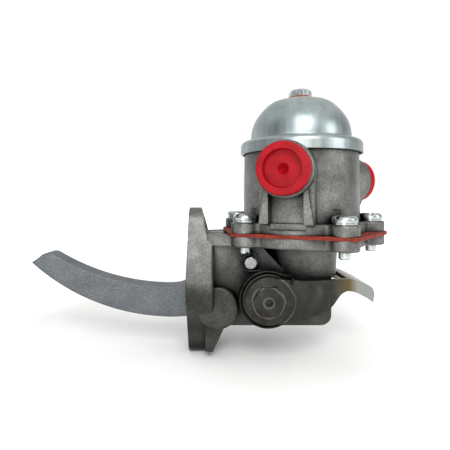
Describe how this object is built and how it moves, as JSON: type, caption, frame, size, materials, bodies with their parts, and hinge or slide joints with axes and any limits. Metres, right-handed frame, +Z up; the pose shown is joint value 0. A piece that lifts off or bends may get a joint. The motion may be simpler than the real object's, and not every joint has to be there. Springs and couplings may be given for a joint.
{
  "type": "fuel lift pump",
  "caption": "Mechanical diaphragm lift pump: cast two-part body, domed strainer cover, capped ports, cam-driven rocker arm, hand priming lever and side mounting flange.",
  "frame": {"origin": "centre of the mounting flange's face, midway between its two bolt holes", "axes": "+X runs from the engine through the flange towards the pump body, +Z up along the body axis, +Y across the pump along the rocker pivot"},
  "size_m": [0.1736, 0.0808, 0.1283],
  "materials": {
    "cast_aluminium": "as cast, satin",
    "zinc_plate": "zinc plated, satin",
    "bright_zinc": "bright zinc plated",
    "fibre_red": "red fibre sheet",
    "diaphragm_red": "rubberised fabric, red",
    "plug_red": "moulded, semi-gloss",
    "blasted_steel": "grit blasted",
    "dark_steel": "dark passivated, oiled",
    "spring_steel": "black spring steel",
    "plain_steel": "ground",
    "black_rubber": "matt",
    "brass": "woven wire, plain",
    "cork": "matt sheet"
  },
  "bodies": {
    "housing": {"cover_bolt": "bright_zinc", "cover_bolt_washer": "fibre_red", "cover_gasket": "cork", "diaphragm": "diaphragm_red", "diaphragm_spring": "spring_steel", "flange_screw_1": "bright_zinc", "flange_screw_2": "bright_zinc", "flange_screw_3": "bright_zinc", "flange_screw_4": "bright_zinc", "flange_screw_5": "bright_zinc", "flange_screw_6": "bright_zinc", "inlet_valve_cage": "brass", "inlet_valve_seat": "brass", "inlet_valve_spring": "spring_steel", "lower_housing": "cast_aluminium", "outlet_valve_cage": "brass", "outlet_valve_seat": "brass", "outlet_valve_spring": "spring_steel", "pivot_pin": "plain_steel", "pivot_plug": "plain_steel", "priming_spring": "spring_steel", "rocker_spring": "spring_steel", "rod_seal": "black_rubber", "seal_retainer": "plain_steel", "spring_peg": "plain_steel", "spring_washer_1": "bright_zinc", "spring_washer_2": "bright_zinc", "spring_washer_3": "bright_zinc", "spring_washer_4": "bright_zinc", "spring_washer_5": "bright_zinc", "spring_washer_6": "bright_zinc", "strainer_gauze": "brass", "strainer_rim": "black_rubber", "top_cover": "zinc_plate", "upper_housing": "cast_aluminium"},
    "rocker": {"rocker_arm": "blasted_steel"},
    "link": {"link_lever": "plain_steel"},
    "piston": {"pull_rod": "plain_steel", "rod_nut": "plain_steel", "diaphragm_top_plate": "plain_steel", "diaphragm_low_plate": "plain_steel"},
    "primer": {"priming_shaft": "dark_steel", "priming_lever": "dark_steel", "shaft_seal_near": "black_rubber", "shaft_seal_far": "black_rubber"},
    "inlet_disc": {"inlet_valve_disc": "black_rubber"},
    "outlet_disc": {"outlet_valve_disc": "black_rubber"},
    "inlet_cap": {"inlet_plug": "plug_red"},
    "outlet_cap": {"outlet_plug": "plug_red"}
  },
  "joints": [
    {"name": "rocker_hinge", "type": "hinge", "parent": "housing", "child": "rocker", "pos_m": [0.014, 0, -0.01], "axis": [0, 1, 0], "range_deg": [0, 7], "stiffness_Nm_per_rad": 1.5, "springref_deg": -8.59, "deforming": ["rocker_spring"]},
    {"name": "link_hinge", "type": "hinge", "parent": "housing", "child": "link", "pos_m": [0.014, 0, -0.01], "axis": [0, 1, 0], "range_deg": [0, 7.01]},
    {"name": "diaphragm_slide", "type": "slide", "parent": "housing", "child": "piston", "axis": [0, 0, -1], "range_m": [0, 0.0052], "deforming": ["diaphragm", "diaphragm_spring"]},
    {"name": "priming_hinge", "type": "hinge", "parent": "housing", "child": "primer", "pos_m": [0.0362, 0, -0.0044], "axis": [0, 1, 0], "range_deg": [0, 30], "stiffness_Nm_per_rad": 0.15, "springref_deg": -20.05, "deforming": ["priming_spring"]},
    {"name": "inlet_valve_slide", "type": "slide", "parent": "housing", "child": "inlet_disc", "axis": [0, 0, -1], "range_m": [0, 0.0012], "stiffness_N_per_m": 60, "springref_m": -0.002, "deforming": ["inlet_valve_spring"]},
    {"name": "outlet_valve_slide", "type": "slide", "parent": "housing", "child": "outlet_disc", "axis": [0, 0, 1], "range_m": [0, 0.0012], "stiffness_N_per_m": 60, "springref_m": -0.002, "deforming": ["outlet_valve_spring"]},
    {"name": "inlet_plug_pull", "type": "slide", "parent": "housing", "child": "inlet_cap", "axis": [-0.3746, -0.9272, 0], "range_m": [0, 0.015]},
    {"name": "outlet_plug_pull", "type": "slide", "parent": "housing", "child": "outlet_cap", "axis": [0.8829, 0.4695, 0], "range_m": [0, 0.015]}
  ],
  "couplings": [
    {"joint": "link_hinge", "follows": "rocker_hinge", "ratio": 1},
    {"joint": "diaphragm_slide", "follows": "rocker_hinge", "m_per_rad": 0.041}
  ]
}
